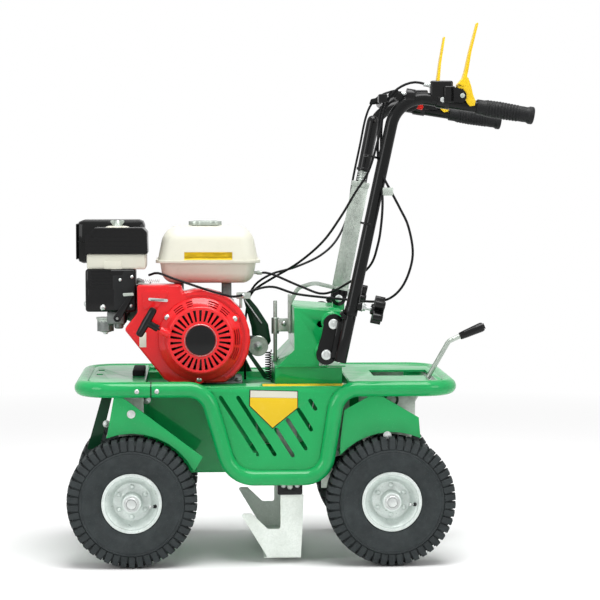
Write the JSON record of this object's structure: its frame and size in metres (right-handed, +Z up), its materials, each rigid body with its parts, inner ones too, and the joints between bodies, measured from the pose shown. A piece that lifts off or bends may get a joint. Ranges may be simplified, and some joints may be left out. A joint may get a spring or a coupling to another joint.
{
  "type": "turf cutter",
  "caption": "Walk-behind petrol turf cutter: a swinging U-shaped blade under a tube frame on pneumatic wheels, engine ahead, folding handlebar behind.",
  "frame": {"origin": "on the ground, under the middle of the machine's length and width", "axes": "+X to the rear, where the operator walks; +Z up; -Y the recoil starter's side"},
  "size_m": [0.943, 0.4904, 1.0994],
  "materials": {
    "green_paint": "glossy powder coat",
    "dark_green_paint": "satin paint",
    "zinc_plate": "dull zinc plate",
    "machined_steel": "machined",
    "cast_aluminium": "as cast",
    "red_paint": "gloss paint",
    "red_plastic": "moulded",
    "yellow_plastic": "moulded",
    "tank_plastic": "moulded, slightly warm white",
    "black_plastic": "moulded, fine grain",
    "black_paint": "satin powder coat",
    "grip_rubber": "ribbed",
    "belt_rubber": "matte",
    "tyre_rubber": "dusty matte",
    "rim_paint": "pale grey coat",
    "blade_steel": "ground",
    "cable_sheath": "smooth sheath"
  },
  "bodies": {
    "frame": {"front_bow": "green_paint", "side_frame": "green_paint", "deck": "green_paint", "side_guard_left": "green_paint", "side_guard_right": "green_paint", "tower": "green_paint", "rod_guide": "zinc_plate", "front_axle_carrier": "zinc_plate", "rear_axle_carrier": "zinc_plate", "front_fender_left": "green_paint", "front_fender_right": "green_paint", "rear_fender_left": "green_paint", "rear_fender_right": "green_paint", "drive_case": "green_paint", "belt_guard": "dark_green_paint", "drive_belt": "belt_rubber", "crankcase": "cast_aluminium", "fan_shroud": "red_paint", "recoil_cover": "red_paint", "fuel_tank": "tank_plastic", "air_cleaner_cover": "black_plastic", "air_cleaner_body": "black_plastic", "carburettor": "cast_aluminium", "muffler": "black_paint", "handle_mount_left": "black_paint", "handle_mount_right": "black_paint", "idler_spring": "machined_steel", "clutch_cable_left": "cable_sheath", "clutch_cable_right": "cable_sheath"},
    "front_wheels": {"front_axle": "machined_steel", "front_rim_left": "rim_paint", "front_rim_right": "rim_paint", "front_tyre_left": "tyre_rubber", "front_tyre_right": "tyre_rubber"},
    "rear_wheels": {"rear_axle": "machined_steel", "rear_rim_left": "rim_paint", "rear_rim_right": "rim_paint", "rear_tyre_left": "tyre_rubber", "rear_tyre_right": "tyre_rubber"},
    "crank": {"flywheel": "machined_steel", "engine_pulley": "machined_steel"},
    "driven": {"driven_pulley": "machined_steel"},
    "handlebar": {"handlebar": "black_paint", "grip_left": "grip_rubber", "grip_right": "grip_rubber"},
    "clutch_lever_left": {"clutch_lever_left": "yellow_plastic"},
    "clutch_lever_right": {"clutch_lever_right": "yellow_plastic"},
    "throttle_lever": {"throttle_lever": "red_plastic"},
    "knob_left": {"knob_left": "black_plastic"},
    "knob_right": {"knob_right": "black_plastic"},
    "depth_lever": {"depth_lever": "zinc_plate", "lever_spring": "machined_steel"},
    "lever_sleeve": {"lever_sleeve": "black_plastic"},
    "blade_hanger": {"blade_hanger": "zinc_plate"},
    "blade": {"blade": "blade_steel"},
    "gear_lever": {"gear_lever": "zinc_plate"},
    "idler_arm": {"idler_arm": "dark_green_paint"},
    "choke_lever": {"choke_lever": "black_plastic"},
    "fuel_cap": {"fuel_cap": "zinc_plate"},
    "starter_grip": {"starter_grip": "black_plastic"}
  },
  "joints": [
    {"name": "front_wheels", "type": "hinge", "parent": "frame", "child": "front_wheels", "pos_m": [-0.339, 0, 0.1325], "axis": [0, 1, 0], "continuous": true},
    {"name": "rear_wheels", "type": "hinge", "parent": "frame", "child": "rear_wheels", "pos_m": [0.187, 0, 0.1325], "axis": [0, 1, 0], "continuous": true},
    {"name": "crank", "type": "hinge", "parent": "frame", "child": "crank", "pos_m": [-0.1995, 0, 0.458], "axis": [0, 1, 0], "continuous": true},
    {"name": "driven", "type": "hinge", "parent": "frame", "child": "driven", "pos_m": [-0.1115, 0.139, 0.29], "axis": [0, 1, 0], "continuous": true},
    {"name": "handlebar_fold", "type": "hinge", "parent": "frame", "child": "handlebar", "pos_m": [0.08438, 0, 0.51454], "axis": [0, -1, 0], "range_deg": [0, 65], "deforming": ["clutch_cable_left", "clutch_cable_right"]},
    {"name": "clutch_lever_left", "type": "hinge", "parent": "handlebar", "child": "clutch_lever_left", "pos_m": [0.3231, -0.22, 0.951], "axis": [0, 1, 0], "range_deg": [0, 78], "stiffness_Nm_per_rad": 0.8, "springref_deg": -8.59},
    {"name": "clutch_lever_right", "type": "hinge", "parent": "handlebar", "child": "clutch_lever_right", "pos_m": [0.3231, 0.22, 0.951], "axis": [0, 1, 0], "range_deg": [0, 78], "stiffness_Nm_per_rad": 0.8, "springref_deg": -8.59},
    {"name": "throttle_lever", "type": "hinge", "parent": "handlebar", "child": "throttle_lever", "pos_m": [0.2205, -0.1877, 0.938], "axis": [0, 1, 0], "range_deg": [0, 40]},
    {"name": "knob_left", "type": "hinge", "parent": "handlebar", "child": "knob_left", "pos_m": [0.15733, -0.22, 0.5214], "axis": [0.9778, 0, -0.2096], "continuous": true},
    {"name": "knob_right", "type": "hinge", "parent": "handlebar", "child": "knob_right", "pos_m": [0.15733, 0.22, 0.5214], "axis": [0.9778, 0, -0.2096], "continuous": true},
    {"name": "depth_lever", "type": "hinge", "parent": "frame", "child": "depth_lever", "pos_m": [0.0921, 0, 0.533], "axis": [0, -1, 0], "range_deg": [0, 30]},
    {"name": "lever_sleeve", "type": "slide", "parent": "depth_lever", "child": "lever_sleeve", "axis": [-0.1908, 0, -0.9816], "range_m": [0, 0.01], "stiffness_N_per_m": 300, "springref_m": -0.01, "deforming": ["lever_spring"]},
    {"name": "blade_depth", "type": "slide", "parent": "frame", "child": "blade_hanger", "axis": [0, 0, -1], "range_m": [0, 0.062]},
    {"name": "blade_swing", "type": "hinge", "parent": "blade_hanger", "child": "blade", "pos_m": [-0.0185, 0, 0.159], "axis": [0, 1, 0], "range_deg": [-4, 4]},
    {"name": "gear_lever", "type": "hinge", "parent": "frame", "child": "gear_lever", "pos_m": [0.209, -0.1, 0.3], "axis": [1, 0, 0], "range_deg": [0, 20]},
    {"name": "idler_arm", "type": "hinge", "parent": "frame", "child": "idler_arm", "pos_m": [-0.0775, 0.0255, 0.431], "axis": [0, 1, 0], "range_deg": [0, 9], "deforming": ["idler_spring"]},
    {"name": "choke_lever", "type": "hinge", "parent": "frame", "child": "choke_lever", "pos_m": [-0.3695, -0.1228, 0.5], "axis": [0, -1, 0], "range_deg": [0, 40]},
    {"name": "fuel_cap", "type": "hinge", "parent": "frame", "child": "fuel_cap", "pos_m": [-0.189, -0.015, 0.687], "axis": [0, 0, 1], "range_deg": [0, 120]},
    {"name": "starter_grip", "type": "slide", "parent": "frame", "child": "starter_grip", "axis": [-0.8712, 0, 0.4909], "range_m": [0, 0.12], "stiffness_N_per_m": 60, "springref_m": -0.05}
  ],
  "couplings": [
    {"joint": "driven", "follows": "crank", "ratio": 0.73333},
    {"joint": "blade_depth", "follows": "depth_lever", "m_per_rad": 0.1184},
    {"joint": "idler_arm", "follows": "clutch_lever_left", "ratio": 0.11538}
  ]
}
